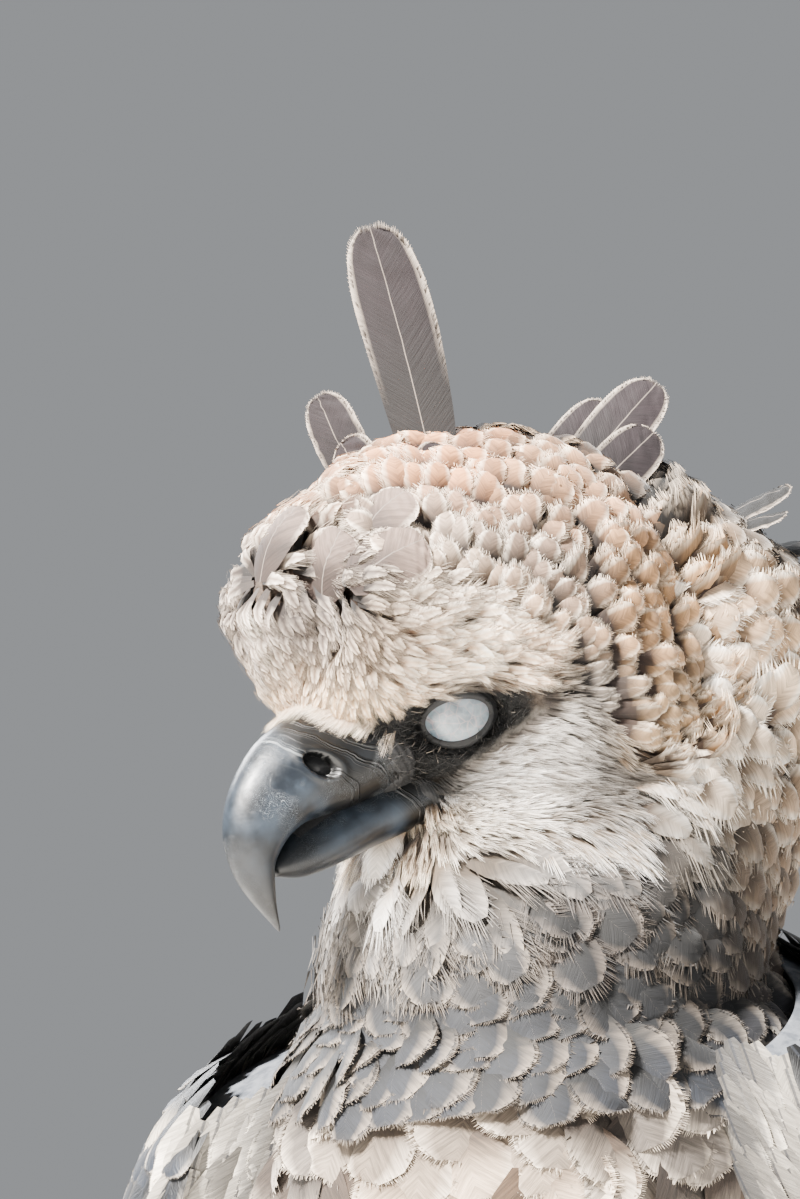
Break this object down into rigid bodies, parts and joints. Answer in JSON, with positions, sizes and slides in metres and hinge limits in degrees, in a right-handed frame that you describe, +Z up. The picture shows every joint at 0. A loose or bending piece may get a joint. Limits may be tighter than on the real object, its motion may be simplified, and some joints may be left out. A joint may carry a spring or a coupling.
{
  "type": "harpy eagle",
  "caption": "Life-size harpy eagle standing at rest on both feet, wings folded, head turned to its right and tipped down, crest feathers partly raised.",
  "frame": {"origin": "on the floor that the bird stands on, under the middle of its bounding box", "axes": "+Z up; the bird's body faces -Y and its tail points towards +Y; +X is the bird's left side"},
  "size_m": [0.2762, 0.6172, 0.8382],
  "materials": {
    "plumage_pale": "soft cream-white body feathers with grey bases, matt",
    "plumage_head": "grey-brown and white head feathers and crest, matt",
    "plumage_slate": "slate-grey wing feathers with pale fringes, matt",
    "plumage_tail": "grey tail feathers with dark bars, matt",
    "bill": "dark slate horn, semi-gloss",
    "eye": "pale blue-grey third eyelid over a dark eye, wet gloss",
    "scales": "yellow scaled skin, satin",
    "claws": "black horn, gloss"
  },
  "bodies": {
    "root": {"torso": "plumage_pale", "neck": "plumage_pale", "head": "plumage_head", "bill_upper": "bill", "bill_lower": "bill", "tail": "plumage_tail", "eye_left": "eye", "wing_left": "plumage_slate", "thigh_left": "plumage_pale", "tarsus_left": "scales", "foot_left": "scales", "claw_hallux_left": "claws", "claw_inner_left": "claws", "claw_middle_left": "claws", "claw_outer_left": "claws", "eye_right": "eye", "wing_right": "plumage_slate", "thigh_right": "plumage_pale", "tarsus_right": "scales", "foot_right": "scales", "claw_hallux_right": "claws", "claw_inner_right": "claws", "claw_middle_right": "claws", "claw_outer_right": "claws"}
  },
  "joints": []
}
